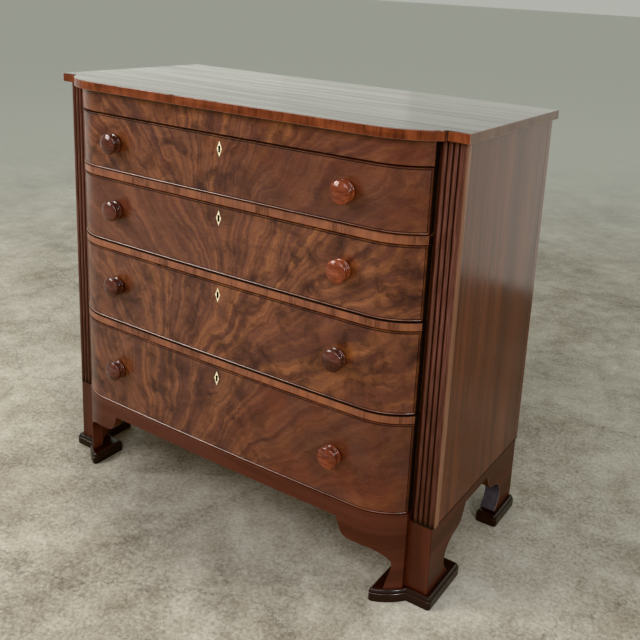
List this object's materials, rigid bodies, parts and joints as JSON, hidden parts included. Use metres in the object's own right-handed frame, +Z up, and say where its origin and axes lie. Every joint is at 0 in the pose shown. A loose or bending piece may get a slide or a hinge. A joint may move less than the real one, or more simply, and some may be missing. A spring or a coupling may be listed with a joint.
{
  "type": "bow front chest of drawers",
  "caption": "Bow front mahogany chest of drawers with reeded pilasters, turned knobs, diamond escutcheons and bracket feet on pads; every drawer slides out.",
  "frame": {"origin": "middle of the footprint, on the floor", "axes": "+X to the right of someone facing the front, +Y to the back, +Z up; the drawers pull out along -Y"},
  "size_m": [1.084, 0.534, 1],
  "materials": {
    "mahogany": "satin shellac over solid mahogany",
    "figured_veneer": "polished crotch figured mahogany veneer",
    "crossbanding": "polished lighter banding with upright grain",
    "reeded_mahogany": "dark polished reeding",
    "dark_pad_wood": "near black glossy stain",
    "polished_turning": "glossy turned mahogany",
    "pine": "bare aged pine",
    "bone": "polished bone",
    "iron": "worn iron"
  },
  "bodies": {
    "case": {"top_board": "mahogany", "right_side_panel": "mahogany", "left_side_panel": "mahogany", "back_panel": "pine", "right_pilaster": "reeded_mahogany", "left_pilaster": "reeded_mahogany", "frieze_rail": "figured_veneer", "drawer_blade_1": "crossbanding", "dust_board_1": "pine", "drawer_blade_2": "crossbanding", "dust_board_2": "pine", "drawer_blade_3": "crossbanding", "dust_board_3": "pine", "bottom_board": "pine", "front_apron": "mahogany", "right_front_foot": "mahogany", "left_front_foot": "mahogany", "right_side_base": "mahogany", "left_side_base": "mahogany", "right_front_pad": "dark_pad_wood", "left_front_pad": "dark_pad_wood", "right_rear_pad": "dark_pad_wood", "left_rear_pad": "dark_pad_wood"},
    "drawer_1": {"drawer_1_front": "figured_veneer", "drawer_1_right_side": "pine", "drawer_1_left_side": "pine", "drawer_1_bottom": "pine", "drawer_1_back": "pine", "drawer_1_left_knob": "polished_turning", "drawer_1_right_knob": "polished_turning", "drawer_1_escutcheon": "bone", "drawer_1_lock": "iron"},
    "drawer_2": {"drawer_2_front": "figured_veneer", "drawer_2_right_side": "pine", "drawer_2_left_side": "pine", "drawer_2_bottom": "pine", "drawer_2_back": "pine", "drawer_2_left_knob": "polished_turning", "drawer_2_right_knob": "polished_turning", "drawer_2_escutcheon": "bone", "drawer_2_lock": "iron"},
    "drawer_3": {"drawer_3_front": "figured_veneer", "drawer_3_right_side": "pine", "drawer_3_left_side": "pine", "drawer_3_bottom": "pine", "drawer_3_back": "pine", "drawer_3_left_knob": "polished_turning", "drawer_3_right_knob": "polished_turning", "drawer_3_escutcheon": "bone", "drawer_3_lock": "iron"},
    "drawer_4": {"drawer_4_front": "figured_veneer", "drawer_4_right_side": "pine", "drawer_4_left_side": "pine", "drawer_4_bottom": "pine", "drawer_4_back": "pine", "drawer_4_left_knob": "polished_turning", "drawer_4_right_knob": "polished_turning", "drawer_4_escutcheon": "bone", "drawer_4_lock": "iron"}
  },
  "joints": [
    {"name": "drawer_1_slide", "type": "slide", "parent": "case", "child": "drawer_1", "axis": [0, -1, 0], "range_m": [0, 0.33]},
    {"name": "drawer_2_slide", "type": "slide", "parent": "case", "child": "drawer_2", "axis": [0, -1, 0], "range_m": [0, 0.33]},
    {"name": "drawer_3_slide", "type": "slide", "parent": "case", "child": "drawer_3", "axis": [0, -1, 0], "range_m": [0, 0.33]},
    {"name": "drawer_4_slide", "type": "slide", "parent": "case", "child": "drawer_4", "axis": [0, -1, 0], "range_m": [0, 0.33]}
  ]
}
